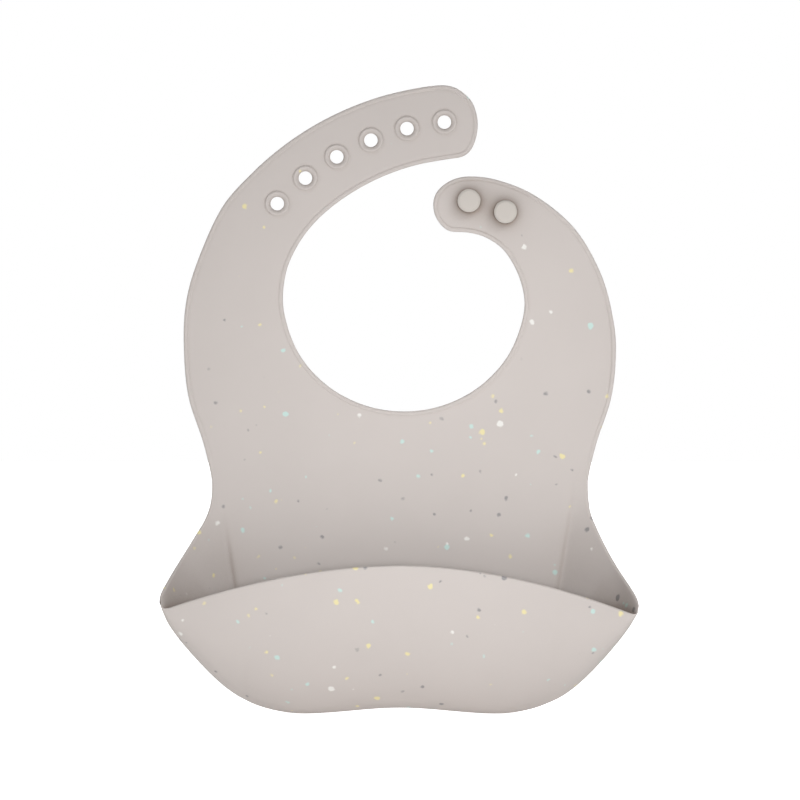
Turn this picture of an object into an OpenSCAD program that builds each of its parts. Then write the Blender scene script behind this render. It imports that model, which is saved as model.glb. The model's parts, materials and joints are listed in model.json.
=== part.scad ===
// Silicone bib with a catch pocket: a soft moulded sheet that hangs from a ring round the neck.
// The sheet stands in the XZ plane with its front towards -Y. The origin is the centre of the neck opening.

/* [Sheet] */
// Thickness of the sheet
sheet_t = 1.8; // [1.2:0.1:2.4]
// Thickness of the raised bead along every free edge
bead_t = 2.6; // [2.2:0.1:3.4]
// Width of the bead
bead_w = 2.8; // [2:0.1:4]

/* [Neck opening] */
// Half width of the neck opening
neck_rx = 59.6; // [50:0.2:72]
// Depth of the neckline below the centre of the opening
neck_rz = 56.2; // [46:0.2:68]

/* [Apron] */
// Half width of the chest at its widest
chest_hw = 106.4; // [96:0.2:128]
// Half width of the waist
waist_hw = 92.3; // [84:0.2:112]
// Distance of the widest level below the centre of the neck opening
chest_drop = 25; // [18:1:30]
// Distance of the waist below the centre of the neck opening
waist_drop = 94; // [78:1:114]
// Shift of the apron's centre line from the centre of the neck opening
apron_shift = -2; // [-6:0.5:6]

/* [Pocket] */
// Half width of the pocket at its corners
pocket_hw = 115.3; // [104:0.1:138]
// Distance of the pocket corners below the waist
corner_drop = 57.5; // [50:0.5:68]
// Height of the middle of the pocket rim above its corners
rim_rise = 21; // [12:0.5:26]
// Distance of the pocket's rear fold below the waist
fold_drop = 97; // [90:1:110]
// Half width of the pocket's flat back at the rear fold
back_hw = 76; // [66:1:84]
// How far the middle of the rim stands in front of the sheet
pocket_depth = 44; // [34:1:52]
// Angle of the side gussets in front of the sheet
gusset_angle = 29; // [20:1:34]

/* [Straps] */
// Radius of the arc that the long strap follows
band_r = 132; // [126:1:140]
// Width of the long strap near its tip
band_w = 36.6; // [33:0.2:42]
// Length of the long strap beyond its last hole
band_tip = 16.6; // [14:0.2:20]
// Width of the short strap at its buttons
short_w = 27; // [23:0.5:29]

/* [Closure] */
// Distance between neighbouring holes, and between the two buttons
pitch = 18.7; // [17:0.1:19.5]
// Number of adjustment holes
hole_count = 6; // [6:1:6]
// Diameter of the holes
hole_d = 6.7; // [5:0.1:8]
// Outer diameter of the raised rim round a hole
hole_rim_d = 12.5; // [11:0.1:14]
// Diameter of the button heads
head_d = 11.3; // [9:0.1:12.5]
// Height of the button heads
head_h = 3.4; // [2.4:0.1:4.5]
// Diameter of the button stems
stem_d = 6.2; // [4:0.1:7.5]
// Height of the button stems
stem_h = 3.2; // [2.6:0.1:4]

/* [Hidden] */

silicone = [0.80, 0.77, 0.745];
silicone_edge = [0.77, 0.74, 0.715];
hinge_gap = 0.7;     // slit left between two regions that bend against each other
seat_gap = 0.1;      // clearance round a hole rim in its strap
steps = 6;           // curve steps between two outline points
far = 400;           // longer than the bib, for cutting

waist_z = -waist_drop;
chest_z = -chest_drop;
corner_z = waist_z - corner_drop;
fold_z = waist_z - fold_drop;

// The long strap follows an arc round band_c. Its first hole, nearest the tip, is at band_start.
band_c = [neck_rx - 26.6, -45];
band_start = 95.7;
flare = 0.012;       // the strap's half width grows by this much per millimetre towards the shoulder
long_draw = 0.07;    // the neck edge closes in by this much per degree towards the long strap
short_draw = 0.2;    // and by this much towards the short strap
// Bend lines of the straps, as angles round band_c and round the neck's centre
mid_line = band_start + degrees(pitch * (hole_count - 0.35) / band_r);
tip_line = band_start + degrees(pitch * 2.5 / band_r);
short_line = 24;
// Between the long strap, outside this circle round band_c, and the short strap, inside it
strap_divide = band_r - band_w / 2 - 5;

function degrees(turn) = turn * 180 / PI;
function polar(radius, angle) = radius * [cos(angle), sin(angle)];
function mix(a, b, t) = a + (b - a) * t;

// A smooth open curve through every point of a list
function curve_point(a, b, c, d, t) =
    0.5 * (2 * b + (c - a) * t + (2 * a - 5 * b + 4 * c - d) * t * t + (3 * b - a - 3 * c + d) * t * t * t);
function curve(points, n = steps) = [
    for (i = [0 : len(points) - 2], k = [0 : n - 1])
        curve_point(points[max(i - 1, 0)], points[i], points[i + 1],
                    points[min(i + 2, len(points) - 1)], k / n),
    points[len(points) - 1]
];

// A point on the long strap: along is the distance from the first hole, away from the tip
function on_band(along, across) =
    band_c + polar(band_r + across, band_start + degrees(along / band_r));
function band_hw(along) = band_w / 2 + flare * along;

// Outline of the standing sheet, from the waist on the right, over both straps, to the waist on the left
function side_point(side, level) = [
    apron_shift + side * mix(waist_hw, chest_hw, level[1]),
    mix(waist_z, chest_z, level[0])
];
// Each pair is a height between waist and chest, and how far the width has grown there
side_levels = [[-0.2, 0.25], [0, 0], [0.31, 0.3], [0.65, 0.84], [1, 1]];

// The short strap narrows from the shoulder to its round end, given as angles and radii round the neck
short_outer = [[-4, 43], [6, 38.5], [18, 33], [28, 27.7], [40, 21], [51, 14.6]];
button_1 = polar(57, 56);
button_2 = button_1 + polar(pitch, -17);
short_end = [
    button_1 + [4, short_w / 2 - 1.2],
    button_1 + [-4.5, short_w / 2 - 1.6],
    button_1 + [-11, 9.2],
    button_1 + [-16.2, 4.2],
    button_1 + [-17.6, -1.5],
    button_1 + [-16.4, -7.6],
    button_1 + [-12.4, -13],
    button_1 + [-8.6, -15],
    button_1 + [-3.6, -15],
    button_1 + [2.6, -15.8],
    button_1 + [9.6, -18.3]
];
long_end = [
    on_band(-9.4, -band_w * 0.475),
    on_band(2 - band_tip, -band_w * 0.33),
    on_band(-band_tip, -band_w * 0.07),
    on_band(1.6 - band_tip, band_w * 0.17),
    on_band(5.4 - band_tip, band_w * 0.34),
    on_band(-2, band_w * 0.495)
];
sheet_outline = concat(
    [for (level = side_levels) side_point(1, level)],
    [for (p = short_outer) polar(neck_rx + p[1], p[0])],
    short_end,
    [for (a = [24 : -16 : 8]) polar(neck_rx - a * short_draw, a)],
    [for (a = [-8 : -23.5 : -172.5]) [neck_rx * cos(a), neck_rz * sin(a)]],
    [for (a = [170 : -13 : 144]) polar(neck_rx - (172 - a) * long_draw, a)],
    [for (i = [4 : -1 : 0]) on_band(pitch * i, -band_hw(pitch * i))],
    long_end,
    [for (i = [1 : 6]) on_band(pitch * i, band_hw(pitch * i))],
    [polar(neck_rx + 44, 171), polar(neck_rx + 48, 182)],
    [for (i = [len(side_levels) - 1 : -1 : 0]) side_point(-1, side_levels[i])]
);

module sheet_2d() {
    polygon(curve(sheet_outline));
}

module inner_2d() {
    offset(delta = -bead_w) sheet_2d();
}

// Everything on the left of a line through a point, moved back by half a slit
module left_of(point, angle) {
    translate(point) rotate(angle) translate([-far, hinge_gap / 2]) square([2 * far, far]);
}

module right_of(point, angle) {
    translate(point) rotate(angle) translate([-far, -far - hinge_gap / 2]) square([2 * far, far]);
}

// Regions of the sheet, each closed by its bend lines
module chest_region() {
    intersection() {
        right_of([0, 0], 0);
        left_of([0, waist_z], 0);
    }
}

module beyond_divide() {
    difference() {
        translate([-far, hinge_gap / 2]) square([2 * far, far]);
        translate(band_c) circle(r = strap_divide, $fn = 90);
    }
}

module long_root_region() {
    intersection() {
        left_of([0, 0], 0);
        left_of(band_c, mid_line);
        translate([-far, 0]) square([far, far]);
    }
}

module long_mid_region() {
    intersection() {
        right_of(band_c, mid_line);
        left_of(band_c, tip_line);
        beyond_divide();
    }
}

module long_tip_region() {
    intersection() {
        right_of(band_c, tip_line);
        beyond_divide();
    }
}

module short_region() {
    intersection() {
        left_of([0, 0], 0);
        square([far, far]);
        translate(band_c) circle(r = strap_divide, $fn = 90);
    }
}

module short_root_region() {
    intersection() {
        short_region();
        right_of([0, 0], short_line);
    }
}

module short_tip_region() {
    intersection() {
        short_region();
        left_of([0, 0], short_line);
    }
}

// A flat shape stood up in the XZ plane, half its thickness on either side
module stand(thick) {
    rotate([90, 0, 0]) linear_extrude(height = thick, center = true) children();
}

module panel() {
    color(silicone) stand(sheet_t) intersection() {
        inner_2d();
        children();
    }
}

module bead() {
    color(silicone_edge) stand(bead_t) intersection() {
        difference() {
            sheet_2d();
            inner_2d();
        }
        children();
    }
}

module rim_holes(first, last) {
    difference() {
        children();
        for (i = [first : last])
            translate(on_band(pitch * i, 0)) circle(d = hole_rim_d + 2 * seat_gap, $fn = 48);
    }
}

// The lower half of the ring round the neck, to part the neckline bead from the side beads
module neck_ring() {
    reach = 2 * bead_w;
    polygon([for (a = [0 : 5 : 355]) [(neck_rx + reach) * cos(a), (neck_rz + reach) * sin(a)]]);
}

// Chest
module chest_panel() {
    panel() chest_region();
}

module neckline_bead() {
    bead() intersection() {
        chest_region();
        neck_ring();
    }
}

module side_bead(side) {
    bead() difference() {
        intersection() {
            chest_region();
            translate([side > 0 ? 0 : -far, -far]) square([far, 2 * far]);
        }
        neck_ring();
    }
}

// Straps
module long_strap_root() {
    panel() long_root_region();
}

module long_strap_mid() {
    panel() rim_holes(3, 5) long_mid_region();
}

module long_strap_tip() {
    panel() rim_holes(0, 2) long_tip_region();
}

module short_strap_root() {
    panel() short_root_region();
}

module short_strap_tip() {
    panel() short_tip_region();
}

// Raised rim round one hole: a ring with a straight bore and a sloping outside
module hole_rim(index) {
    slope = 0.6;
    place = on_band(pitch * index, 0);
    color(silicone_edge) translate([place[0], 0, place[1]]) rotate([90, 0, 0])
        rotate_extrude($fn = 64) polygon([
            [hole_d / 2, -bead_t / 2],
            [hole_rim_d / 2 - slope, -bead_t / 2],
            [hole_rim_d / 2, -sheet_t / 2],
            [hole_rim_d / 2, sheet_t / 2],
            [hole_rim_d / 2 - slope, bead_t / 2],
            [hole_d / 2, bead_t / 2]
        ]);
}

// A press button: a stem on the front of the strap with a wider flat head
module at_button(centre, height) {
    translate([centre[0], -sheet_t / 2 - height, centre[1]]) rotate([90, 0, 0]) children();
}

module button_stem(centre) {
    color(silicone) at_button(centre, 0) cylinder(d = stem_d, h = stem_h, $fn = 48);
}

module button_head(centre) {
    chamfer = 0.5;
    color(silicone_edge) at_button(centre, stem_h) rotate_extrude($fn = 64) polygon([
        [0, 0],
        [head_d / 2 - chamfer, 0],
        [head_d / 2, chamfer],
        [head_d / 2, head_h - chamfer],
        [head_d / 2 - chamfer, head_h],
        [0, head_h]
    ]);
}

// The crease between the flat back of the pocket and a side gusset, right-hand side, as half widths and heights.
// It leaves the edge just under the waist and ends at the rear fold.
crease_top = [waist_hw - 1.8, waist_z - 2];
crease_end = [back_hw, fold_z];
crease_lean = atan2(crease_top[0] - crease_end[0], crease_top[1] - crease_end[1]);
hinge_y = -bead_t / 2;

function crease_x(z) = mix(crease_end[0], crease_top[0], (z - fold_z) / (crease_top[1] - fold_z));
// A gusset is cut flat and then turned forward: this is the flat half width of a point seen at half width x
function flat_x(x, z) = crease_x(z) + (x - crease_x(z)) / cos(gusset_angle);

// The gusset's free edge from the waist to the pocket corner: shares of the way across and of the way down
free_edge = [[0.03, 0.11], [0.21, 0.32], [0.47, 0.54], [0.72, 0.71], [0.92, 0.89]];
function free_point(share) = [mix(waist_hw, pocket_hw, share[0]), mix(waist_z, corner_z, share[1])];

// The front fold from the corner, down = 0, to the rear fold, down = 1, as seen from the front
function fold_width(down) = pow(max(1 - pow(down, 1.6), 0), 0.8);
function fold_point(down) = [mix(back_hw, pocket_hw, fold_width(down)), mix(corner_z, fold_z, down)];
function laid_flat(p) = [flat_x(p[0], p[1]), p[1]];

fold_clear = 3; // a gusset stops this far short of the pocket's front, which moves past it
foot_clear = 1.5; // and this far above the rear fold, where the pocket's floor swings past it

module gusset_2d() {
    free = curve(concat([crease_top], [for (share = free_edge) laid_flat(free_point(share))]));
    fold = [for (down = [0.12 : 0.08 : 0.92]) laid_flat(fold_point(down)) + [-fold_clear, fold_clear / 2]];
    intersection() {
        polygon(concat(free, fold, [crease_end]));
        right_of(crease_end, 90 - crease_lean);
        right_of([0, waist_z], 0);
        left_of([0, fold_z + foot_clear], 0);
    }
}

module gusset_bead_2d() {
    free = curve(concat([crease_top], [for (share = free_edge) laid_flat(free_point(share))]));
    inner = [for (i = [len(free) - 1 : -1 : 0]) free[i] + [-bead_w, 0]];
    intersection() {
        gusset_2d();
        polygon(concat(free, inner));
    }
}

// Turns a flat gusset forward about its crease
module turned_gusset() {
    translate([crease_end[0], hinge_y, crease_end[1]])
        rotate(a = -gusset_angle, v = [sin(crease_lean), 0, cos(crease_lean)])
            translate([-crease_end[0], -hinge_y, -crease_end[1]]) children();
}

module on_side(side) {
    translate([apron_shift, 0, 0]) mirror([side > 0 ? 0 : 1, 0, 0]) children();
}

module gusset(side) {
    color(silicone) on_side(side) turned_gusset() stand(sheet_t) difference() {
        gusset_2d();
        gusset_bead_2d();
    }
}

module gusset_bead(side) {
    color(silicone_edge) on_side(side) turned_gusset() stand(bead_t) gusset_bead_2d();
}

// Flat back of the pocket, from the waist to the rear fold
module apron_panel() {
    half = [[waist_hw, waist_z], crease_top, crease_end];
    color(silicone) translate([apron_shift, 0, 0]) stand(sheet_t) intersection() {
        polygon(concat(half, [for (i = [2 : -1 : 0]) [-half[i][0], half[i][1]]]));
        right_of([0, waist_z], 0);
        left_of([0, fold_z], 0);
        left_of(crease_end, 90 - crease_lean);
        mirror([1, 0, 0]) left_of(crease_end, 90 - crease_lean);
    }
}

// The pocket is a scoop. Upright ribs run from its seam, which is the rear fold and then the front folds,
// down, forward and up to the rim. A rib is [x, four Bezier points in Y and Z].
corner_depth = (pocket_hw - crease_x(corner_z)) * tan(gusset_angle);
flat_ribs = 9;
fold_ribs = 11;
last_down = 0.06; // the last rib stops this short of the corner, where ribs have no height
lobe_x = 46;      // half distance between the two low lobes of the pocket's bottom
belly_mid = 17.5; // how strongly a rib is drawn down before it turns forward, in the middle
belly_lobe = 22;  // and at a lobe

function rim_depth(x) = mix(pocket_depth, corner_depth, pow(x / pocket_hw, 2.4));
function rim_z(x) = corner_z + rim_rise * (1 - pow(x / pocket_hw, 2));
function belly(x) = x < lobe_x
    ? mix(belly_mid, belly_lobe, pow(sin(90 * x / lobe_x), 2))
    : belly_lobe * pow(0.5 + 0.5 * cos(180 * (x - lobe_x) / (pocket_hw - lobe_x)), 1.15);

function seam(i) = i <= flat_ribs
    ? [back_hw * i / flat_ribs, 0, fold_z - hinge_gap / 2]
    : let (down = 1 - (1 - last_down) * (i - flat_ribs) / fold_ribs, p = fold_point(down))
        [p[0], -(p[0] - crease_x(p[1])) * tan(gusset_angle), p[1]];

function rib(i) =
    let (start = seam(abs(i)), x = start[0], tall = rim_z(x) - start[2], out = rim_depth(x) + start[1]) [
        apron_shift + (i < 0 ? -x : x),
        [start[1], start[2]],
        [start[1], start[2] - belly(x)],
        [start[1] - out * 1.02, start[2] + tall * 0.06 - belly(x) * 0.72],
        [start[1] - out, rim_z(x)]
    ];
function bezier(r, t) = pow(1 - t, 3) * r[1] + 3 * t * pow(1 - t, 2) * r[2]
    + 3 * t * t * (1 - t) * r[3] + pow(t, 3) * r[4];
function slope(r, t) = pow(1 - t, 2) * (r[2] - r[1]) + 2 * t * (1 - t) * (r[3] - r[2]) + t * t * (r[4] - r[3]);
function unit(v) = v / norm(v);
// A point of the shell at share t of a rib, off the middle surface by the given distance
function shell_point(r, t, off) =
    let (d = unit(slope(r, t)), p = bezier(r, t) + off * [d[1], -d[0]]) [r[0], p[0], p[1]];

// The part of the scoop between two shares of its ribs
module scoop(from, to, thick, columns) {
    last = flat_ribs + fold_ribs;
    rows = 2 * last;
    points = [
        for (i = [-last : last], k = [0 : columns], side = [-1, 1])
            shell_point(rib(i), mix(from, to, k / columns), side * thick / 2)
    ];
    function at(i, k, side) = (i * (columns + 1) + k) * 2 + side;
    function quad(a, b, c, d) = [[a, b, c], [a, c, d]];
    skins = [
        for (i = [0 : rows - 1], k = [0 : columns - 1])
            each concat(
                quad(at(i, k, 0), at(i, k + 1, 0), at(i + 1, k + 1, 0), at(i + 1, k, 0)),
                quad(at(i, k, 1), at(i + 1, k, 1), at(i + 1, k + 1, 1), at(i, k + 1, 1))
            )
    ];
    edges = [
        for (i = [0 : rows - 1])
            each concat(
                quad(at(i, 0, 0), at(i + 1, 0, 0), at(i + 1, 0, 1), at(i, 0, 1)),
                quad(at(i, columns, 0), at(i, columns, 1), at(i + 1, columns, 1), at(i + 1, columns, 0))
            )
    ];
    ends = [
        for (k = [0 : columns - 1])
            each concat(
                quad(at(0, k, 0), at(0, k, 1), at(0, k + 1, 1), at(0, k + 1, 0)),
                quad(at(rows, k, 0), at(rows, k + 1, 0), at(rows, k + 1, 1), at(rows, k, 1))
            )
    ];
    polyhedron(points, concat(skins, edges, ends));
}

floor_share = 0.42; // share of a rib that counts as the pocket's floor
rim_share = 0.98;   // share of a rib where the rim bead starts

module pocket_floor() {
    color(silicone) scoop(0, floor_share, sheet_t, 8);
}

module pocket_front() {
    color(silicone) scoop(floor_share, rim_share, sheet_t, 8);
}

module pocket_rim() {
    color(silicone_edge) scoop(rim_share, 1, bead_t, 1);
}

chest_panel();
neckline_bead();
side_bead(-1);  // side_bead_left
side_bead(1);  // side_bead_right
apron_panel();
gusset(-1);  // gusset_left
gusset(1);  // gusset_right
gusset_bead(-1);  // gusset_bead_left
gusset_bead(1);  // gusset_bead_right
pocket_floor();
pocket_front();
pocket_rim();
long_strap_root();
long_strap_mid();
long_strap_tip();
bead() long_root_region();  // long_root_bead
bead() long_mid_region();  // long_mid_bead
bead() long_tip_region();  // long_tip_bead
hole_rim(0);  // hole_rim_1
hole_rim(1);  // hole_rim_2
hole_rim(2);  // hole_rim_3
hole_rim(3);  // hole_rim_4
hole_rim(4);  // hole_rim_5
hole_rim(5);  // hole_rim_6
short_strap_root();
short_strap_tip();
bead() short_root_region();  // short_root_bead
bead() short_tip_region();  // short_tip_bead
button_stem(button_1);  // button_stem_1
button_head(button_1);  // button_head_1
button_stem(button_2);  // button_stem_2
button_head(button_2);  // button_head_2
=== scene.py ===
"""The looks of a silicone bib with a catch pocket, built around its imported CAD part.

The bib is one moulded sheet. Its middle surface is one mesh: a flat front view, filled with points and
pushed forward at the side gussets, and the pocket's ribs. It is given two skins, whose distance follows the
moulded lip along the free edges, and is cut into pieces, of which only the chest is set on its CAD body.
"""

import json
import math

import bpy
import numpy as np
from mathutils.geometry import delaunay_2d_cdt
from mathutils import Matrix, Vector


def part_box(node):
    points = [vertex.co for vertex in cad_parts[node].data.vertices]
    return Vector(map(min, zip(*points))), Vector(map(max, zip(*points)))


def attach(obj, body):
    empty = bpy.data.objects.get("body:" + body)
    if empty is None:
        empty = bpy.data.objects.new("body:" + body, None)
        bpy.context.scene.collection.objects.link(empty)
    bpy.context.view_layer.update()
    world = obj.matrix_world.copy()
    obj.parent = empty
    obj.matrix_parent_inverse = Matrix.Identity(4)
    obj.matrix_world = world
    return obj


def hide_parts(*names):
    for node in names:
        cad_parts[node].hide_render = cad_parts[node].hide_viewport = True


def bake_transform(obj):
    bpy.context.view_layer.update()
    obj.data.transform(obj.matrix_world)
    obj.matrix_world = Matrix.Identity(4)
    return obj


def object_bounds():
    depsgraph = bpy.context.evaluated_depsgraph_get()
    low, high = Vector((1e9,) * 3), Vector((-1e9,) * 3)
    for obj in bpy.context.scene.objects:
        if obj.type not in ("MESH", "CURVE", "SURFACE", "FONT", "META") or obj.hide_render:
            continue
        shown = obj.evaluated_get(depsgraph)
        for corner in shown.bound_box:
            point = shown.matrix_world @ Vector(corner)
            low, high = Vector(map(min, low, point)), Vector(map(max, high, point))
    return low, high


MM = 0.001

# Relief of the moulding, in mm: half thickness at a distance from a free edge, a plain edge and a hole's edge
EDGE_RELIEF = [
    (0, 0), (0.1, 0.45), (0.3, 0.8), (0.65, 1.02), (1.1, 1.1), (1.55, 1.08), (1.85, 0.98),
    (2.1, 0.8), (2.4, 0.78), (2.8, 0.88), (3.6, 0.9),
]
PLAIN_RELIEF = [(0, 0), (0.1, 0.42), (0.3, 0.7), (0.65, 0.88), (1.1, 0.93), (2.4, 0.9)]
HOLE_RELIEF = [
    (0, 0), (0.12, 0.45), (0.5, 0.85), (1.0, 1.15), (1.6, 1.42), (2.1, 1.45), (2.5, 1.25),
    (2.85, 0.8), (3.2, 0.76), (3.7, 0.86), (4.6, 0.9),
]

# Reading the outline on the CAD nodes
FLAT = 0.01 * MM        # how even a node's front face is
PROBE = 1.0 * MM        # an edge is free if there is no sheet at this distance outside it
WAIST_SLIT = 0.6 * MM   # half width of the slit at the waist
BRIDGE = 2.5 * MM       # the widest gap that is bridged between two edges
LEAST_HOLE = 12         # a closed chain with fewer points is no hole
ABOVE_WAIST = 2 * MM    # the outline is followed down to this level above the waist
JOIN_GAP = 0.5 * MM     # the gusset's edge goes on at least this far below it

# Spacing of the points
GRID = 3.2 * MM         # inside the sheet
EDGE_STEP = 1.5 * MM    # along a free edge
HOLE_STEP = 0.44 * MM   # round a hole
SEAM_STEP = 1.6 * MM    # along the pocket's seam
CREASE_ROW = 2.2 * MM   # between two rows along a crease
CREASE_ACROSS = [offset * MM for offset in (-4.5, -2.8, -1.5, -0.5, 0.5, 1.5, 2.8, 4.5)]
CREASE_BAND = 5.5 * MM  # half width of the band that these rows fill
CREASE_ABOVE = 4 * MM   # how far above the waist they go on
EDGE_BAND = 6.6 * MM    # width of the band along an edge that its own rings fill
LAST_RING = 1.3 * MM    # from the relief's end to one more ring
RING_TO_SEAM = 0.7 * MM # how near the seam a ring's points and the other points may lie
FILL_TO_SEAM = 1.2 * MM
SEAM_ROUNDS = 50        # rounds of easing for the seam
RIB_ROWS = 34           # points on a pocket rib, apart from those at its rim
RIB_FULL = 14 * MM      # on a rib shorter than this the rows at the rim are squeezed

# The pocket
GUSSET_TILT = math.tan(math.radians(35))
GUSSET_CURL = 0.3       # how much steeper than that a gusset gets at its front
FOLD_CURL = 7 * MM      # how far a gusset curls forward just before its front fold
CURL_WIDTH = 14 * MM
TILT_FROM = 6 * MM      # how far above the waist the gussets start, and over which height they grow
TILT_GROWS = 30 * MM
TILT_SHARES = (0.62, 1.3)   # share of the tilt at the waist and at the seam's top
TILT_POWER = 1.6
SOFT_START = 8 * MM     # how soft a crease is where its gusset starts
STEP_GROWS = 32 * MM    # height over which the step along a crease grows
STEP_FADES = 14 * MM    # distance over which it fades outwards
FOLD_BOW = (1.22, 0.74) # powers that bow a gusset's front fold
POCKET_DEPTH = 44 * MM
DEPTH_BOW = 2.4         # powers that bow the rim, seen from above and from the front
RIM_BOW = 1.86
FRONT_OUT = 1.02        # how far the pocket's front swells out, rises and sags between its foot and its rim
FRONT_RISE = 0.06
FRONT_SAG = 0.72
TURN_WIDTH = 5 * MM     # width of the turn from the rim into a gusset's edge
CORNER_THIN = 0.3       # share of the thickness that is left at a pocket corner
CORNER_REACH = 11 * MM  # how far from the corner the sheet is thinner
BELLY_MIDDLE = 20 * MM  # how far the pocket's foot hangs below its seam, in the middle and at the two lobes
BELLY_LOBE = 24.3 * MM
LOBE_X = 46 * MM

# The two sides differ a little. "edge" is how the free edge runs from the waist to the corner, in shares of
# the way across and down. "corner" is the corner's distance below the waist, "half_width" its distance from
# the axis, and "fall" the rim's fall from its middle to there. "crease" is the depth and the width of the
# step back along the gusset's crease, and the level where it starts. "fold" is how soft the crease is, and
# "inset" how much nearer the middle it lies than on the CAD part.
SIDES = {
    -1: {
        "edge": [
            (0.03, 0.11), (0.15, 0.268), (0.42, 0.46), (0.72, 0.668),
            (0.92, 0.823), (1, 0.9), (1.005, 0.94),
        ],
        "corner": 53 * MM, "half_width": 114.6 * MM, "fall": 21.6 * MM,
        "crease": (1.6 * MM, 3.6 * MM, -98 * MM), "fold": 1.3 * MM, "inset": 2.2 * MM,
    },
    1: {
        "edge": [
            (0.05, 0.184), (0.2, 0.353), (0.395, 0.52), (0.62, 0.685),
            (0.878, 0.852), (0.974, 0.93), (1, 0.98),
        ],
        "corner": 56.2 * MM, "half_width": 113.8 * MM, "fall": 24.0 * MM,
        "crease": (1.6 * MM, 4.4 * MM, -68 * MM), "fold": 1.6 * MM, "inset": 5.2 * MM,
    },
}

# The lip along the free edges runs out over this height, down to this level above the waist
LIP_GROWS = 30 * MM
LIP_ENDS = 4 * MM

# The pieces
WAIST_ABOVE = 17 * MM   # how far the waist's piece goes up and down from the hinge
WAIST_BELOW = 11.5 * MM
STRAPS_FROM = -11 * MM  # level above which the straps start
STRAP_REACH = 23 * MM   # how far inside the long strap's middle line its pieces reach

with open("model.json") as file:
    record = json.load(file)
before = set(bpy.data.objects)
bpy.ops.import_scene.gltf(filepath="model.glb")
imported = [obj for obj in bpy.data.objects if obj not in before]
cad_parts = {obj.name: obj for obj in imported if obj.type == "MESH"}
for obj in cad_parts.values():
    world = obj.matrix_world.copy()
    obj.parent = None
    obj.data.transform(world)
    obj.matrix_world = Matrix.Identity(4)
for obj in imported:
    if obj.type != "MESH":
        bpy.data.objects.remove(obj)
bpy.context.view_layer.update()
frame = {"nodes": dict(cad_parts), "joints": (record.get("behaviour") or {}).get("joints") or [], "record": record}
joints = {joint["name"]: joint for joint in frame["joints"]}

# Levels, and distances from the axis, on the CAD nodes and joints
APRON_LOW, APRON_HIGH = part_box("apron_panel")
AXIS_X = (APRON_LOW.x + APRON_HIGH.x) / 2
WAIST_Z = joints["waist_fold"]["pos_m"][2]
FOLD_Z = joints["pocket_press"]["pos_m"][2]
CREASE_TOP = (APRON_HIGH.x - AXIS_X, WAIST_Z - 2 * MM)
CREASE_FOOT_X = joints["gusset_right_fold"]["pos_m"][0] - AXIS_X

# Levels read from the photo: the seam's two ends, and the rim's middle
SEAM_TOP = WAIST_Z - 55.5 * MM
RIM_MIDDLE = -129.6 * MM


def mix(a, b, t):
    return a + (b - a) * t


def spaced(points, step):
    """Points at an even distance along an open line."""
    points = np.asarray(points, float)
    run = np.concatenate([[0], np.cumsum(np.linalg.norm(np.diff(points, axis=0), axis=1))])
    at = np.linspace(0, run[-1], max(int(round(run[-1] / step)), 2) + 1)
    return np.column_stack([np.interp(at, run, points[:, k]) for k in range(points.shape[1])])


def smooth_curve(points, steps=12):
    """A Catmull-Rom curve through every point."""
    p = np.asarray(points, float)
    p = np.vstack([2 * p[0] - p[1], p, 2 * p[-1] - p[-2]])
    t = np.linspace(0, 1, steps, endpoint=False)[:, None]
    spans = [
        0.5 * (2 * b + (c - a) * t + (2 * a - 5 * b + 4 * c - d) * t**2 + (3 * b - a - 3 * c + d) * t**3)
        for a, b, c, d in zip(p, p[1:], p[2:], p[3:])
    ]
    return np.vstack(spans + [p[-2][None]])


def eased(points, rounds=3):
    """An open line with its small corners rounded off. Its ends stay."""
    p = np.array(points, float)
    for _ in range(rounds):
        p[1:-1] = 0.25 * p[:-2] + 0.5 * p[1:-1] + 0.25 * p[2:]
    return p


# ---- The outline of the standing sheet, read from the CAD nodes ----

def front_triangles(node):
    """The triangles of a node's foremost flat face, as seen from the front."""
    mesh = frame["nodes"][node].data
    mesh.calc_loop_triangles()
    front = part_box(node)[0].y
    found = []
    for triangle in mesh.loop_triangles:
        corners = [mesh.vertices[i].co for i in triangle.vertices]
        if all(abs(c.y - front) < FLAT for c in corners):
            flat = np.array([[c.x, c.z] for c in corners])
            side, other = flat[1] - flat[0], flat[2] - flat[0]
            turn = side[0] * other[1] - side[1] * other[0]
            found.append(flat if turn > 0 else flat[::-1])
    return found


def covered(points, triangles):
    """Which points lie in a triangle of the list."""
    hit = np.zeros(len(points), bool)
    for a, b, c in triangles:
        inside = np.ones(len(points), bool)
        for p, q in ((a, b), (b, c), (c, a)):
            d = q - p
            inside &= d[0] * (points[:, 1] - p[1]) - d[1] * (points[:, 0] - p[0]) > -1e-9
        hit |= inside
    return hit


def outline_chains():
    """The free edges of the standing sheet as open or closed chains of points, the sheet on their left."""
    nodes = [n for n in frame["nodes"] if not n.startswith(("gusset", "pocket", "button", "apron"))]
    triangles, edges = [], []
    for node in nodes:
        own = front_triangles(node)
        triangles += own
        seen = {}
        for t in own:
            for k in range(3):
                p, q = tuple(np.round(t[k], 6)), tuple(np.round(t[(k + 1) % 3], 6))
                if (q, p) in seen:
                    del seen[(q, p)]
                else:
                    seen[(p, q)] = True
        edges += list(seen)
    ends = np.array(edges)
    along = ends[:, 1] - ends[:, 0]
    length = np.linalg.norm(along, axis=1)
    outward = np.column_stack([along[:, 1], -along[:, 0]]) / length[:, None]
    probe = ends.mean(axis=1) + outward * PROBE
    free = ~covered(probe, triangles)
    free &= ~np.all(np.abs(ends[:, :, 1] - WAIST_Z) < WAIST_SLIT, axis=1)
    return chained(ends[free])


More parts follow.
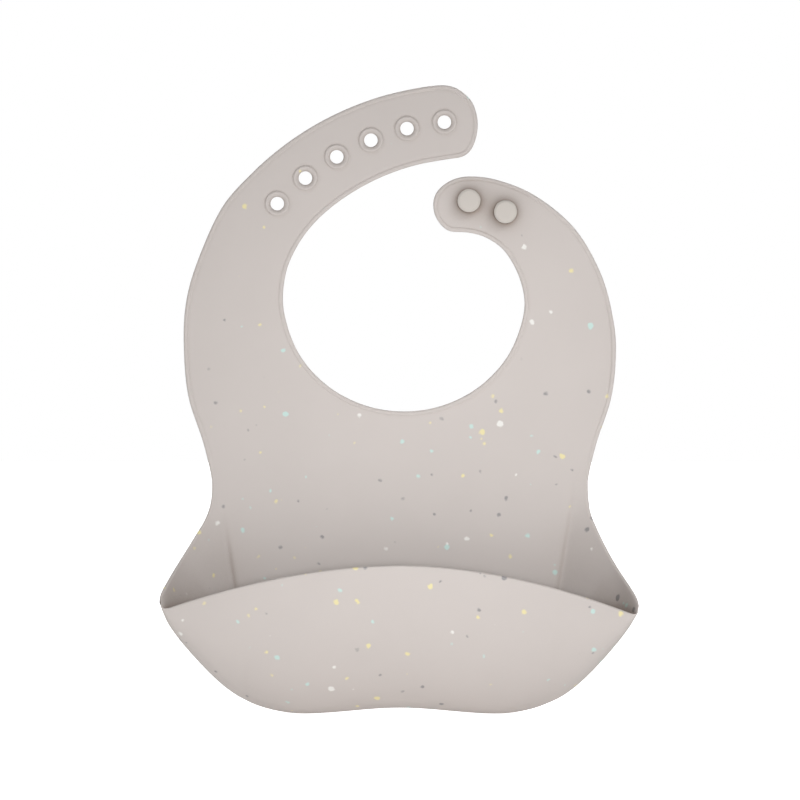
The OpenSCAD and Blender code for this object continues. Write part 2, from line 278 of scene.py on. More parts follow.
def chained(edges):
    """Joins directed edges end to start. Small gaps, as at a slit, are bridged."""
    left = list(range(len(edges)))
    chains = []
    while left:
        chain = [edges[left.pop(0)]]
        for backwards in (False, True):
            while left:
                tip = chain[0][0] if backwards else chain[-1][1]
                near = edges[left][:, 1 if backwards else 0]
                gap = np.linalg.norm(near - tip, axis=1)
                best = int(gap.argmin())
                if gap[best] > BRIDGE:
                    break
                chain.insert(0 if backwards else len(chain), edges[left.pop(best)])
        chains.append(np.vstack([[e[0] for e in chain], chain[-1][1][None]]))
    return chains


# ---- The pocket ----

def crease_x(side, z):
    """Distance of a gusset's crease from the axis."""
    return mix(CREASE_FOOT_X, CREASE_TOP[0], (z - FOLD_Z) / (CREASE_TOP[1] - FOLD_Z)) - SIDES[side]["inset"]


def crease_step(beyond, z, crease):
    """Beyond its crease a gusset starts a little behind the sheet. The step runs out at the crease's top."""
    depth, width, top = crease
    grown = np.clip((top - z) / STEP_GROWS, 0, 1)
    step = np.clip(beyond / width + 0.5, 0, 1)
    return depth * grown * step * step * (3 - 2 * step) * np.exp(-np.maximum(beyond, 0) / STEP_FADES)


def fold_width(z):
    """The share of a gusset's width that is left at a height: all at the corner, none at the rear fold."""
    down = np.clip((SEAM_TOP - np.asarray(z, float)) / (SEAM_TOP - FOLD_Z), 0, 1)
    return (1 - down ** FOLD_BOW[0]) ** FOLD_BOW[1]


def fold_x(side, z):
    return mix(CREASE_FOOT_X, SIDES[side]["half_width"], fold_width(z))


def corner_z(side):
    return WAIST_Z - SIDES[side]["corner"]


def side_of(x):
    return 1 if x > AXIS_X else -1


def sheet_y(x, z):
    """How far forward the back sheet stands: flat between the creases, and curved forward beyond them."""
    x = np.asarray(x, float)
    z = np.asarray(z, float)
    started = np.clip((WAIST_Z + TILT_FROM - z) / TILT_GROWS, 0, 1)
    down = np.clip((WAIST_Z - z) / (WAIST_Z - SEAM_TOP), 0, 1)
    found = np.zeros(x.shape)
    for side, shape in SIDES.items():
        beyond = np.abs(x - AXIS_X) - crease_x(side, z)
        soft = mix(SOFT_START, shape["fold"], started)
        turned = (beyond + np.sqrt(beyond**2 + soft**2)) / 2
        share = turned / (shape["half_width"] - crease_x(side, corner_z(side)))
        steep = GUSSET_TILT * (1 - GUSSET_CURL + 2 * GUSSET_CURL * share)
        steep = steep * mix(*TILT_SHARES, down**TILT_POWER)
        bent = steep * turned * started * started * (3 - 2 * started)
        before_fold = np.clip(1 - (fold_x(side, z) - np.abs(x - AXIS_X)) / CURL_WIDTH, 0, 1)
        curl = FOLD_CURL * fold_width(z) * before_fold**3
        y = crease_step(beyond, z, shape["crease"]) - bent - curl
        found = np.where((x > AXIS_X) == (side > 0), y, found)
    return found


def corner_point(side):
    x, z = AXIS_X + side * SIDES[side]["half_width"], corner_z(side)
    return np.array([x, float(sheet_y(x, z)), z])


def fold_line(side):
    """The front fold of a gusset from the corner down to the rear fold, as seen from the front."""
    z = np.linspace(SEAM_TOP, FOLD_Z, 400)
    x = np.concatenate([[SIDES[side]["half_width"]], fold_x(side, z)])
    z = np.concatenate([[corner_z(side)], z])
    return spaced(np.column_stack([AXIS_X + side * x, z]), EDGE_STEP)


def gusset_edge(side, upper):
    """The free edge from the waist down to a pocket corner, going on from the upper edge's end there."""
    upper = upper[::side]
    waist_x = abs(upper[0][0] - AXIS_X)
    above = upper[upper[:, 1] > WAIST_Z + ABOVE_WAIST]
    drawn = [
        (AXIS_X + side * mix(waist_x, SIDES[side]["half_width"], u), mix(WAIST_Z, SEAM_TOP, v))
        for u, v in SIDES[side]["edge"]
    ]
    line = spaced(smooth_curve(np.vstack([above[5], above[0], drawn])), EDGE_STEP)
    return line[line[:, 1] < above[0][1] - JOIN_GAP]


def rim_z(x):
    """Height of the pocket's rim at x. It rises again where it turns into the gusset's edge."""
    u = abs(x - AXIS_X)
    side = side_of(x)
    half_width = SIDES[side]["half_width"]
    low = RIM_MIDDLE - SIDES[side]["fall"] * (u / half_width) ** RIM_BOW
    into_turn = np.clip(1 - (half_width - u) / TURN_WIDTH, 0, 1)
    return mix(low, corner_z(side), 1 - math.sqrt(1 - into_turn**2))


def rib(x, y, z):
    """The pocket's section at x, from its seam at (y, z) down, forward and up to the rim, as close points."""
    u = abs(x - AXIS_X)
    side = side_of(x)
    half_width = SIDES[side]["half_width"]
    depth = mix(POCKET_DEPTH, -corner_point(side)[1], (u / half_width) ** DEPTH_BOW)
    top = rim_z(x)
    if u < LOBE_X:
        belly = mix(BELLY_MIDDLE, BELLY_LOBE, math.sin(math.pi / 2 * u / LOBE_X) ** 2)
    else:
        belly = BELLY_LOBE * (0.5 + 0.5 * math.cos(math.pi * min((u - LOBE_X) / (half_width - LOBE_X), 1)))
    out, tall = depth + y, top - z
    control = np.array([
        [y, z],
        [y, z - belly],
        [y - out * FRONT_OUT, z + tall * FRONT_RISE - belly * FRONT_SAG],
        [-depth, top],
    ])
    t = np.linspace(0, 1, 240)[:, None]
    curve = (
        (1 - t) ** 3 * control[0] + 3 * t * (1 - t) ** 2 * control[1]
        + 3 * t**2 * (1 - t) * control[2] + t**3 * control[3]
    )
    return np.column_stack([np.full(len(curve), x), curve])


# ---- The middle surface ----

def relief(table, distance):
    steps = np.array(table) * MM
    return np.interp(distance, steps[:, 0], steps[:, 1])


def edge_relief(z, distance):
    """Half thickness beside a free edge: with a raised lip on the straps and the chest, plain below."""
    lip = np.clip((z - WAIST_Z - LIP_ENDS) / LIP_GROWS, 0, 1)
    return mix(relief(PLAIN_RELIEF, distance), relief(EDGE_RELIEF, distance), lip)


def distance_to(points, loop):
    """Distance of each point to a line of points."""
    a, b = loop[:-1], loop[1:]
    d = b - a
    best = np.full(len(points), 1e9)
    for i in range(0, len(points), 2000):
        p = points[i : i + 2000]
        t = np.einsum("ijk,jk->ij", p[:, None] - a[None], d) / np.maximum((d * d).sum(1), 1e-18)
        nearest = a[None] + np.clip(t, 0, 1)[..., None] * d[None]
        best[i : i + 2000] = np.linalg.norm(p[:, None] - nearest, axis=2).min(axis=1)
    return best


def within(points, loop):
    """Which points lie inside a closed loop."""
    a, b = loop, np.roll(loop, -1, axis=0)
    inside = np.zeros(len(points), bool)
    for (ax, az), (bx, bz) in zip(a, b):
        if az == bz:
            continue
        crosses = (az > points[:, 1]) != (bz > points[:, 1])
        at = ax + (points[:, 1] - az) * (bx - ax) / (bz - az)
        inside ^= crosses & (points[:, 0] < at)
    return inside


def inner_rings(loop, table, is_closed):
    """Points along a loop, at each distance of a relief table inside it."""
    ahead = np.roll(loop, -1, axis=0) if is_closed else np.vstack([loop[1:], loop[-1:]])
    behind = np.roll(loop, 1, axis=0) if is_closed else np.vstack([loop[:1], loop[:-1]])
    along = ahead - behind
    inward = np.column_stack([-along[:, 1], along[:, 0]]) / np.linalg.norm(along, axis=1)[:, None]
    rings = []
    for distance in [row[0] * MM for row in table[1:]] + [table[-1][0] * MM + LAST_RING]:
        ring = loop + inward * distance
        apart = distance_to(ring, closed(loop) if is_closed else loop)
        rings.append(ring[apart > distance * 0.97])
    return np.vstack(rings)


def closed(loop):
    return np.vstack([loop, loop[:1]])


def sheet_outline():
    """The front view's free edge, the seam where the pocket starts, and the loops of the holes."""
    chains = outline_chains()
    chains.sort(key=len)
    holes = [spaced(closed(c), HOLE_STEP)[:-1] for c in chains[:-1] if len(c) > LEAST_HOLE]
    upper = eased(spaced(chains[-1], EDGE_STEP))
    above = upper[upper[:, 1] > WAIST_Z + ABOVE_WAIST]
    free = np.vstack([gusset_edge(1, upper)[::-1], above, gusset_edge(-1, upper)])
    seam = spaced(np.vstack([fold_line(-1), fold_line(1)[::-1]]), SEAM_STEP)
    return free, eased(seam, SEAM_ROUNDS), holes


def fill_points(free, seam, outline, holes):
    """Points inside the sheet: rings along its edges, rows along the creases, and a grid between them."""
    rings = inner_rings(free, EDGE_RELIEF, is_closed=False)
    rings = rings[within(rings, outline) & (distance_to(rings, seam) > RING_TO_SEAM)]
    hole_rings = [inner_rings(hole, HOLE_RELIEF, is_closed=True) for hole in holes]
    xs = np.arange(outline[:, 0].min(), outline[:, 0].max(), GRID)
    zs = np.arange(outline[:, 1].min(), outline[:, 1].max(), GRID)
    grid = np.array([(x + (k % 2) * GRID / 2, z) for k, z in enumerate(zs) for x in xs])
    crease_end = WAIST_Z + CREASE_ABOVE
    beyond = np.abs(grid[:, 0] - AXIS_X)
    beyond -= np.where(grid[:, 0] > AXIS_X, crease_x(1, grid[:, 1]), crease_x(-1, grid[:, 1]))
    grid = grid[(np.abs(beyond) >= CREASE_BAND) | (grid[:, 1] >= crease_end)]
    rows = np.arange(FOLD_Z + GRID, crease_end, CREASE_ROW)
    crease = np.array([
        (AXIS_X + side * (crease_x(side, z) + offset), z)
        for side in SIDES for z in rows for offset in CREASE_ACROSS
    ])
    fill = np.vstack([grid, crease])
    keep = within(fill, outline)
    keep &= distance_to(fill, seam) > FILL_TO_SEAM
    for line in [free, *map(closed, holes)]:
        keep &= distance_to(fill, line) > EDGE_BAND
    return np.vstack([rings, *hole_rings, fill[keep]])


def flat_triangles(flat, outline, holes):
    """Triangles between the points of the front view, with the holes left out."""
    edges, first = [], 0
    for loop in (outline, *holes):
        edges += [(first + i, first + (i + 1) % len(loop)) for i in range(len(loop))]
        first += len(loop)
    made = delaunay_2d_cdt([tuple(p) for p in flat], edges, [], 0, 1e-7, True)
    source = [ids[0] for ids in made[3]]
    triangles = np.array([[source[i] for i in face] for face in made[2] if len(face) == 3])
    middle = flat[triangles].mean(axis=1)
    inside = within(middle, outline)
    for hole in holes:
        inside &= ~within(middle, hole)
    return triangles[inside]


def sheet_half(flat, free, holes, first):
    """Half thickness at each point of the sheet. It is 0 on the free edge and round the holes."""
    half = edge_relief(flat[:, 1], distance_to(flat, free))
    half[: len(free) - 1] = 0
    for hole in holes:
        apart = distance_to(flat, closed(hole))
        near = apart < HOLE_RELIEF[-1][0] * MM
        half[near] = relief(HOLE_RELIEF, apart[near])
        half[first : first + len(hole)] = 0
        first += len(hole)
    return half


def pocket_ribs(points, seam, seam_ids):
    """The pocket's own points, their half thickness, and the numbers of each rib's points from the seam."""
    at_rim = np.array([row[0] * MM for row in EDGE_RELIEF])[::-1]
    ribs, extra, half = [], [], []
    for (x, z), start in zip(seam, seam_ids):
        if start in (seam_ids[0], seam_ids[-1]):
            ribs.append([start] * (RIB_ROWS + len(at_rim)))
            continue
        line = rib(x, points[start, 1], z)
        run = np.concatenate([[0], np.cumsum(np.linalg.norm(np.diff(line, axis=0), axis=1))])
        shrink = min(1, run[-1] / RIB_FULL)
        from_rim = np.linspace(run[-1], at_rim[0] * shrink, RIB_ROWS + 1)[:-1]
        from_rim = np.concatenate([from_rim, at_rim * shrink])[1:]
        first = len(points) + len(extra)
        ribs.append([start, *range(first, first + len(from_rim))])
        extra += list(np.column_stack([np.interp(run[-1] - from_rim, run, line[:, c]) for c in range(3)]))
        half += list(relief(PLAIN_RELIEF, from_rim))
    return np.array(extra), half, ribs


def build_surface():
    """The bib's middle surface: points, faces, half thickness at each point, and which faces are pocket."""
    free, seam, holes = sheet_outline()
    outline = np.vstack([free[:-1], seam[:-1]])
    flat = np.vstack([outline, *holes, fill_points(free, seam, outline, holes)])
    faces = [tuple(t) for t in flat_triangles(flat, outline, holes)]
    in_pocket = [False] * len(faces)

    points = np.column_stack([flat[:, 0], sheet_y(flat[:, 0], flat[:, 1]), flat[:, 1]])
    seam_ids = [(len(free) - 1 + k) % len(outline) for k in range(len(seam))]
    extra, extra_half, ribs = pocket_ribs(points, seam, seam_ids)
    points = np.vstack([points, extra])
    for one, two in zip(ribs, ribs[1:]):
        for j in range(len(one) - 1):
            quad = list(dict.fromkeys([one[j + 1], two[j + 1], two[j], one[j]]))
            if len(quad) > 2:
                faces.append(tuple(quad))
                in_pocket.append(True)

    half = np.concatenate([sheet_half(flat, free, holes, len(outline)), extra_half])
    for side in SIDES:
        apart = np.linalg.norm(points - corner_point(side), axis=1)
        half = half * mix(CORNER_THIN, 1, np.clip(apart / CORNER_REACH, 0, 1))
    return points, faces, half, np.array(in_pocket)


def vertex_normals(points, faces):
    normals = np.zeros_like(points)
    for size in (3, 4):
        chosen = np.array([f for f in faces if len(f) == size])
        if not len(chosen):
            continue
        c = points[chosen]
        if size == 3:
            n = np.cross(c[:, 1] - c[:, 0], c[:, 2] - c[:, 0])
        else:
            n = np.cross(c[:, 2] - c[:, 0], c[:, 3] - c[:, 1])
        for k in range(size):
            np.add.at(normals, chosen[:, k], n)
    return normals / np.maximum(np.linalg.norm(normals, axis=1), 1e-15)[:, None]


def thicken(points, faces, half, in_pocket):
    """Two skins on a middle surface. They meet where its half thickness is 0."""
    normals = vertex_normals(points, faces)
    split = half > 1e-7
    front = points + normals * half[:, None]
    back = points[split] - normals[split] * half[split][:, None]
    other = np.arange(len(points))
    other[split] = len(points) + np.arange(split.sum())
    skins = faces + [tuple(int(other[i]) for i in reversed(face)) for face in faces]
    return np.vstack([front, back]), skins, np.concatenate([in_pocket, in_pocket])


# ---- Pieces ----

def across(joint):
    """The unit vector in the sheet that crosses a strap's hinge line towards the child body."""
    x, _, z = joints[joint]["axis"]
    return np.array([z, 0, -x])


def hinge_distance(points, joint):
    return (points - np.array(joints[joint]["pos_m"])) @ across(joint)


LONG_HINGES = ["long_shoulder_bend", "long_mid_bend", "long_tip_bend"]
SHORT_HINGES = ["short_shoulder_bend", "short_tip_bend"]
STRAP_PIECES = dict(zip(
    LONG_HINGES + SHORT_HINGES,
    ["strap_long_root", "strap_long_middle", "strap_long_tip", "strap_short_root", "strap_short_tip"],
))


def crossing(one, two):
    """Where the hinge lines of two joints meet, as seen from the front."""
    p, q = (np.array(joints[j]["pos_m"])[[0, 2]] for j in (one, two))
    d, e = (np.array(joints[j]["axis"])[[0, 2]] for j in (one, two))
    t = np.linalg.solve(np.column_stack([d, -e]), q - p)
    return p + d * t[0]


# The long strap is an arc, and its hinge lines meet in the arc's centre
STRAP_CENTRE = crossing("long_mid_bend", "long_tip_bend")
STRAP_RADIUS = np.linalg.norm(np.array(joints["long_tip_bend"]["pos_m"])[[0, 2]] - STRAP_CENTRE)


def piece_of(middle, in_pocket):
    """The name of the piece that each face belongs to, from the face's middle."""
    names = np.full(len(middle), "chest", dtype="<U20")
    names[middle[:, 2] < WAIST_Z + WAIST_ABOVE] = "waist"
    names[(middle[:, 2] < WAIST_Z - WAIST_BELOW) | in_pocket] = "pocket"
    on_strap = np.linalg.norm(middle[:, [0, 2]] - STRAP_CENTRE, axis=1) > STRAP_RADIUS - STRAP_REACH
    above = middle[:, 2] > STRAPS_FROM
    sides = ((LONG_HINGES, (middle[:, 0] < 0) | on_strap), (SHORT_HINGES, (middle[:, 0] > 0) & ~on_strap))
    for hinges, here in sides:
        far = np.stack([np.abs(hinge_distance(middle, hinge)) for hinge in hinges])
        nearest = far.argmin(axis=0)
        for k, hinge in enumerate(hinges):
            names[above & here & (nearest == k)] = STRAP_PIECES[hinge]
    return names


def add_mesh(name, points, faces, normals=None, material=None):
    mesh = bpy.data.meshes.new(name)
    mesh.from_pydata([tuple(p) for p in points], [], faces)
    mesh.validate()
    mesh.shade_smooth()
    if normals is not None:
        mesh.normals_split_custom_set_from_vertices([tuple(n) for n in normals])
    rest = mesh.attributes.new("rest", "FLOAT_VECTOR", "POINT")
    rest.data.foreach_set("vector", np.asarray(points, np.float32).ravel())
    made = bpy.data.objects.new(name, mesh)
    bpy.context.scene.collection.objects.link(made)
    if material:
        mesh.materials.append(material)
    return made


def cut_pieces(points, faces, in_pocket, material, strap_material):
    """The bib cut into its pieces. Normals are the whole bib's, so that no cut shows."""
    normals = vertex_normals(points, faces)
    middle = np.array([points[list(f)].mean(axis=0) for f in faces])
    names = piece_of(middle, in_pocket)
    made = {}
    for name in sorted(set(names)):
        own = [faces[i] for i in np.flatnonzero(names == name)]
        used = np.array(sorted({i for face in own for i in face}))
        index = {int(old): new for new, old in enumerate(used)}
        own = [tuple(index[int(i)] for i in face) for face in own]
        own_material = strap_material if name.startswith("strap") else material
        made[name] = add_mesh(name, points[used], own, normals[used], own_material)
    return made


def lathe(name, centre, profile, material, segments=64):
    """A round piece with its axis along Y. The profile is pairs of a radius and a distance to the front."""
    turn = np.linspace(0, 2 * math.pi, segments, endpoint=False)
    points = [
        (centre[0] + r * math.cos(a), centre[1] - out, centre[2] + r * math.sin(a))
        for r, out in profile for a in turn
    ]
    faces = [
        (j * segments + i, j * segments + (i + 1) % segments, (j + 1) * segments + (i + 1) % segments,
         (j + 1) * segments + i)
        for j in range(len(profile) - 1) for i in range(segments)
    ]
    last = (len(profile) - 1) * segments
    faces.append(tuple(last + i for i in range(segments)))
    return add_mesh(name, points, faces, None, material)


def arc(centre_r, centre_out, radius, start, end, steps=6):
    """Points of a profile round a corner, from one angle to another in degrees."""
    return [
        (centre_r + radius * math.cos(math.radians(a)), centre_out + radius * math.sin(math.radians(a)))
        for a in np.linspace(start, end, steps)
    ]


def button(number, material):
    """A press button: a stem on the strap and a wide head with a bevelled, rounded edge."""
    low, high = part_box(f"button_head_{number}")
    stem_low, stem_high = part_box(f"button_stem_{number}")
    head_r = (high.x - low.x) / 2
    stem_r = (stem_high.x - stem_low.x) / 2
    base = -stem_high.y
    under, top = -high.y, -low.y
    centre = ((low.x + high.x) / 2, 0, (low.z + high.z) / 2)
    foot = 0.8 * MM
    bevel = 0.85 * MM
    rise = 0.5 * MM
    edge = 0.35 * MM
    profile = [(stem_r + foot, base - 0.1 * MM), (stem_r + 0.3 * foot, base + 0.3 * foot)]
    profile += [(stem_r, base + foot), (stem_r, under - 0.3 * MM), (stem_r + 0.3 * MM, under)]
    profile += arc(head_r - edge, under + edge, edge, -90, 0)
    profile += arc(head_r - edge, top - rise - edge, edge, 0, 55)
    profile += [(head_r - bevel, top - 0.12 * MM), (head_r - bevel - 0.25 * MM, top - 0.02 * MM)]
    profile += [(head_r - bevel - 0.6 * MM, top)]
    profile += [(head_r * 0.4, top + 0.05 * MM), (0.2 * MM, top + 0.07 * MM)]
    return lathe(f"button_{number}", centre, profile, material, 72)


# ---- Materials ----

def new_material(name):
    material = bpy.data.materials.new(name)
    material.use_nodes = True
    nodes = material.node_tree.nodes
    nodes.clear()
    out = nodes.new("ShaderNodeOutputMaterial")
    shader = nodes.new("ShaderNodeBsdfPrincipled")
    material.node_tree.links.new(shader.outputs["BSDF"], out.inputs["Surface"])
    return material, shader


def add_node(owner, kind, inputs=None, **settings):
    """A node of a material or the world. Each input is a number, a colour or another node's output."""
    node = owner.node_tree.nodes.new(kind)
    for key, value in settings.items():
        setattr(node, key, value)
    for key, value in (inputs or {}).items():
        if isinstance(value, bpy.types.NodeSocket):
            owner.node_tree.links.new(value, node.inputs[key])
        else:
            node.inputs[key].default_value = value
    return node


def map_range(owner, value, start, end, low=0.0, high=1.0):
    """A value between start and end moved to between low and high, and held there."""
    inputs = {"Value": value, "From Min": start, "From Max": end, "To Min": low, "To Max": high}
    return add_node(owner, "ShaderNodeMapRange", inputs).outputs[0]


def math_node(material, operation, a, b=0.0, clamp=False):
    return add_node(material, "ShaderNodeMath", {0: a, 1: b}, operation=operation, use_clamp=clamp).outputs[0]


def mix_colour(material, share, one, two, blend="MIX"):
    node = add_node(material, "ShaderNodeMix", data_type="RGBA", blend_type=blend)
    for socket, value in ((node.inputs[0], share), (node.inputs[6], one), (node.inputs[7], two)):
        if isinstance(value, bpy.types.NodeSocket):
            material.node_tree.links.new(value, socket)
        else:
            socket.default_value = value
    return node.outputs[2]


RUBBER_COLOUR = (0.50, 0.458, 0.436, 1)
BUTTON_COLOUR = (0.49, 0.455, 0.42, 1)
MOTTLE = 0.025          # how much the rubber's colour varies
ROUGHNESS = (0.56, 0.72)
GRAIN = 0.1 * MM        # depth of the moulded grain

# The flecks' colours, and from which random number on a fleck has one
FLECK_COLOURS = [
    (0.0, (0.76, 0.68, 0.30, 1)),
    (0.27, (0.46, 0.68, 0.64, 1)),
    (0.56, (0.78, 0.78, 0.75, 1)),
    (0.70, (0.17, 0.17, 0.18, 1)),
]
# Spacing of the flecks, their smallest and largest radius, and where their pattern starts
FLECK_LAYERS = [
    (10 * MM, 1.1 * MM, 1.9 * MM, (0.31, 0.14, 0.27)),
    (8 * MM, 0.7 * MM, 1.4 * MM, (0.73, 0.52, 0.9)),
]
FLECK_WOBBLE = 1.6 * MM # how far a fleck's outline is out of round
FLECK_COVER = 0.7       # how well a fleck covers the rubber
FEWER_FROM = 20 * MM    # from this level down to the next the flecks become as many as on the pocket
FEWER_TO = -70 * MM
FEWEST = 0.15           # share of them that is left on the straps

# Painted shade: an occlusion node darkens and warms the rubber's colour in its hollows, corners and creases, where
# shade
# falls: the reach, the openness where it starts and where it is full, and the colour that it is multiplied with
PAINTED_SHADE_REACH = 35 * MM
PAINTED_SHADE_START = 0.92
PAINTED_SHADE_FULL = 0.44
PAINTED_SHADE_COLOUR = (0.33, 0.24, 0.17, 1)


def flecks(material, place, cell, low, high, offset):
    """Small round flecks strewn through the rubber: how much of one shows, its colour, and its chance."""
    wobble = add_node(material, "ShaderNodeTexNoise", {"Vector": place, "Scale": 420, "Detail": 1})
    shift = add_node(
        material, "ShaderNodeVectorMath", {0: wobble.outputs["Color"], "Scale": FLECK_WOBBLE},
        operation="SCALE",
    ).outputs[0]
    ragged = add_node(material, "ShaderNodeVectorMath", {0: place, 1: shift}, operation="ADD").outputs[0]
    moved = add_node(material, "ShaderNodeVectorMath", {0: ragged, 1: offset}, operation="ADD").outputs[0]
    cells = add_node(
        material, "ShaderNodeTexVoronoi", {"Vector": moved, "Scale": 1 / cell, "Randomness": 1.0}
    )
    # A cell's colour is also the place of its point, so its fleck needs random numbers of its own
    dice = add_node(
        material, "ShaderNodeTexWhiteNoise", {"Vector": cells.outputs["Color"]}, noise_dimensions="3D"
    )
    split = add_node(material, "ShaderNodeSeparateColor", {"Color": dice.outputs["Color"]})
    radius = map_range(material, split.outputs[0], 0.0, 1.0, low / cell, high / cell)
    gap = math_node(material, "SUBTRACT", radius, cells.outputs["Distance"])
    shows = math_node(material, "MULTIPLY", gap, 1.5 * cell / MM, clamp=True)
    ramp = add_node(material, "ShaderNodeValToRGB", {"Fac": split.outputs[1]})
    ramp.color_ramp.interpolation = "CONSTANT"
    while len(ramp.color_ramp.elements) < len(FLECK_COLOURS):
        ramp.color_ramp.elements.new(0.5)
    for element, (at, colour) in zip(ramp.color_ramp.elements, FLECK_COLOURS):
        element.position = at
        element.color = colour
    return shows, ramp.outputs["Color"], split.outputs[2]


def silicone(name, colour, fleck_share, alone=False):
    """Matte silicone rubber with a faint mottle, a fine moulded grain, coloured flecks and painted shade in its
    hollows.

    With alone set, only the piece itself casts this painted shade, and not the floor below it.
    """
    material, shader = new_material(name)
    place = add_node(material, "ShaderNodeAttribute", attribute_name="rest").outputs["Vector"]
    mottle = add_node(
        material, "ShaderNodeTexNoise", {"Vector": place, "Scale": 22, "Detail": 3, "Roughness": 0.5}
    )
    light = tuple(min(c * (1 + MOTTLE), 1) for c in colour[:3]) + (1,)
    dark = tuple(c * (1 - MOTTLE) for c in colour[:3]) + (1,)
    base = mix_colour(material, mottle.outputs[0], dark, light)
    height = add_node(material, "ShaderNodeSeparateXYZ", {"Vector": place}).outputs["Z"]
    lower = map_range(material, height, FEWER_FROM, FEWER_TO, FEWEST * fleck_share, fleck_share)
    for cell, low, high, offset in FLECK_LAYERS:
        shows, tint, chance = flecks(material, place, cell, low, high, offset)
        present = math_node(material, "LESS_THAN", chance, lower)
        share = math_node(material, "MULTIPLY", shows, present)
        base = mix_colour(material, math_node(material, "MULTIPLY", share, FLECK_COVER), base, tint)
    # Painted shade: an occlusion node darkens and warms the colour in hollows, corners and creases
    openness = add_node(
        material, "ShaderNodeAmbientOcclusion", {"Distance": PAINTED_SHADE_REACH}, samples=8, only_local=alone
    ).outputs["AO"]
    painted_shade = map_range(material, openness, PAINTED_SHADE_START, PAINTED_SHADE_FULL)
    base = mix_colour(material, painted_shade, base, PAINTED_SHADE_COLOUR, "MULTIPLY")
    material.node_tree.links.new(base, shader.inputs["Base Color"])
    wear = add_node(material, "ShaderNodeTexNoise", {"Vector": place, "Scale": 60, "Detail": 4})
    rough = map_range(material, wear.outputs[0], 0.0, 1.0, *ROUGHNESS)
    material.node_tree.links.new(rough, shader.inputs["Roughness"])
    grain = add_node(material, "ShaderNodeTexNoise", {"Vector": place, "Scale": 1500, "Detail": 2})
    bump = add_node(
        material, "ShaderNodeBump", {"Height": grain.outputs[0], "Strength": 0.12, "Distance": GRAIN}
    )
    material.node_tree.links.new(bump.outputs["Normal"], shader.inputs["Normal"])
    shader.inputs["IOR"].default_value = 1.41
    shader.inputs["Specular IOR Level"].default_value = 0.35
    return material


FLOOR_GLOW = 0.32   # a light table's glow
FLOOR_LIFT = 0.6    # how much more of it the camera sees, to match the white of the backdrop


def floor_material():
    material, shader = new_material("floor")
    place = add_node(material, "ShaderNodeTexCoord").outputs["Object"]
    noise = add_node(material, "ShaderNodeTexNoise", {"Vector": place, "Scale": 6, "Detail": 2})
    base = mix_colour(material, noise.outputs[0], (0.90, 0.90, 0.895, 1), (0.93, 0.93, 0.925, 1))
    material.node_tree.links.new(base, shader.inputs["Base Color"])
    shader.inputs["Roughness"].default_value = 0.9
    shader.inputs["Specular IOR Level"].default_value = 0.1
    glow = add_node(material, "ShaderNodeLightPath").outputs["Is Camera Ray"]
    lift = math_node(material, "ADD", math_node(material, "MULTIPLY", glow, FLOOR_LIFT), FLOOR_GLOW)
    shader.inputs["Emission Color"].default_value = (1, 1, 1, 1)
    material.node_tree.links.new(lift, shader.inputs["Emission Strength"])
    return material


# ---- Building ----

rubber = silicone("silicone", RUBBER_COLOUR, 0.85, alone=True)
strap_rubber = silicone("silicone_strap", RUBBER_COLOUR, 0.85)
button_rubber = silicone("silicone_button", BUTTON_COLOUR, 0.0)

skin, skin_faces, skin_pocket = thicken(*build_surface())
pieces = cut_pieces(skin, skin_faces, skin_pocket, rubber, strap_rubber)

for hinge, name in STRAP_PIECES.items():
    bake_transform(pieces[name])
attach(pieces["chest"], "chest")
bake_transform(pieces["waist"])
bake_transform(pieces["pocket"])

bodies = frame["record"]["behaviour"]["bodies"]
NO_BUTTONS = [n for n in bodies["short_tip"] if not n.startswith("button")]
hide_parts(*bodies["chest"])
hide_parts("apron_panel")
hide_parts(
    *bodies["apron"], *bodies["pocket"], *bodies["gusset_left"], *bodies["gusset_right"]
)
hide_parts(*bodies["long_root"])
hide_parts(*bodies["long_mid"])
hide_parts(*bodies["long_tip"])
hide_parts(*bodies["short_root"])
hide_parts(*NO_BUTTONS)

for number in (1, 2):
    made = button(number, button_rubber)
    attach(made, "short_tip")
    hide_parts(f"button_stem_{number}", f"button_head_{number}")

# ---- Studio ----

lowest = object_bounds()[0].z
half_floor = 6.0
floor = add_mesh(
    "floor",
    [(-half_floor, -half_floor, lowest), (half_floor, -half_floor, lowest),
     (half_floor, half_floor, lowest), (-half_floor, half_floor, lowest)],
    [(0, 1, 2, 3)],
    None,
    floor_material(),
)

# The room is brighter behind the bib than in front of it, so that its edges are lighter than its faces. It
# changes between these two directions along Y. The camera sees a white backdrop instead.
ROOM_FRONT = 0.19
ROOM_BEHIND = 0.9
ROOM_TURN = 0.25

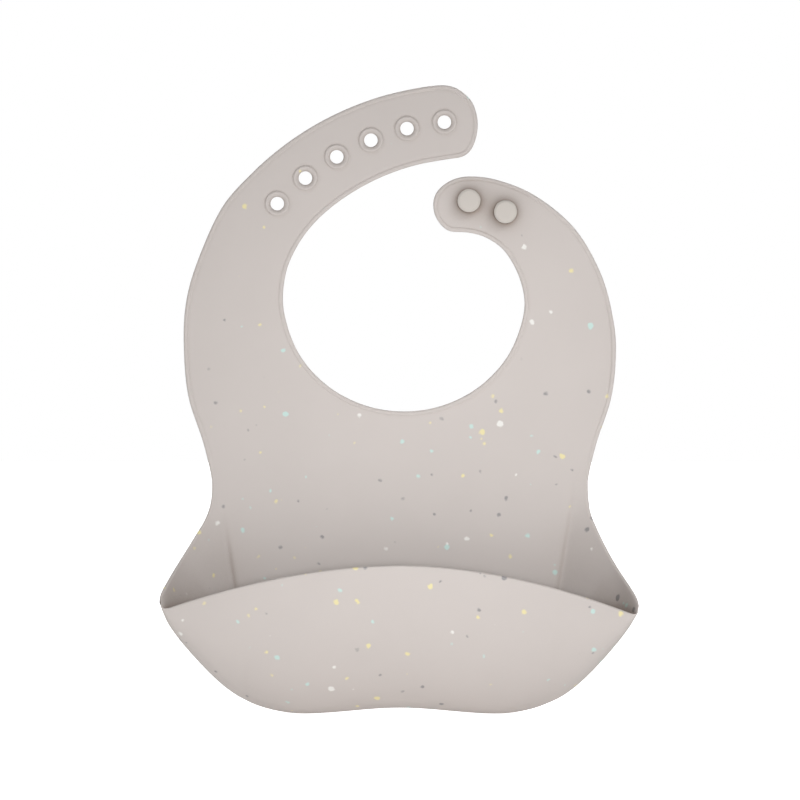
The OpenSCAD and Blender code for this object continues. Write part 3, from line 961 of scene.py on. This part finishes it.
world = bpy.data.worlds.new("studio")
bpy.context.scene.world = world
world.use_nodes = True
world_nodes, world_links = world.node_tree.nodes, world.node_tree.links
look = add_node(world, "ShaderNodeTexCoord").outputs["Generated"]
backwards = add_node(world, "ShaderNodeSeparateXYZ", {0: look}).outputs["Y"]
room = world_nodes["Background"]
room.inputs["Color"].default_value = (1, 1, 1, 1)
world_links.new(
    map_range(world, backwards, -ROOM_TURN, ROOM_TURN, ROOM_FRONT, ROOM_BEHIND), room.inputs["Strength"]
)
backdrop = add_node(world, "ShaderNodeBackground", {"Color": (1, 1, 1, 1), "Strength": 1.0})
by_camera = add_node(world, "ShaderNodeLightPath").outputs["Is Camera Ray"]
both = add_node(world, "ShaderNodeMixShader", {0: by_camera, 1: room.outputs[0], 2: backdrop.outputs[0]})
world_links.new(both.outputs[0], world_nodes["World Output"].inputs["Surface"])


def area_light(name, place, target, size, power, spread=180):
    data = bpy.data.lights.new(name, "AREA")
    data.shape = "SQUARE"
    data.size = size
    data.energy = power
    data.spread = math.radians(spread)
    light = bpy.data.objects.new(name, data)
    bpy.context.scene.collection.objects.link(light)
    light.visible_camera = False
    light.location = place
    aim = np.array(target) - np.array(place)
    light.rotation_euler = (
        math.atan2(math.hypot(aim[0], aim[1]), -aim[2]),
        0,
        math.atan2(aim[0], -aim[1]) + math.pi,
    )
    return light


CENTRE = (-0.00197, 0, -0.0505)     # what the camera looks at
CAMERA_AWAY = 1.5
VIEW_WIDTH = 0.394
SENSOR = 36

# Place, target, size and power, and for the first its spread in degrees
area_light("front", (0.03, -0.80, -0.02), (0.01, 0, -0.075), 0.25, 0.38, 50)
area_light("side", (0.45, -0.60, 0.42), CENTRE, 0.10, 1.15)

camera_data = bpy.data.cameras.new("camera")
camera = bpy.data.objects.new("camera", camera_data)
bpy.context.scene.collection.objects.link(camera)
camera.location = (CENTRE[0], -CAMERA_AWAY, CENTRE[2])
camera.rotation_euler = (math.pi / 2, 0, 0)
camera_data.sensor_width = SENSOR
camera_data.lens = SENSOR * CAMERA_AWAY / VIEW_WIDTH
bpy.context.scene.camera = camera

bpy.context.scene.view_settings.view_transform = "Standard"
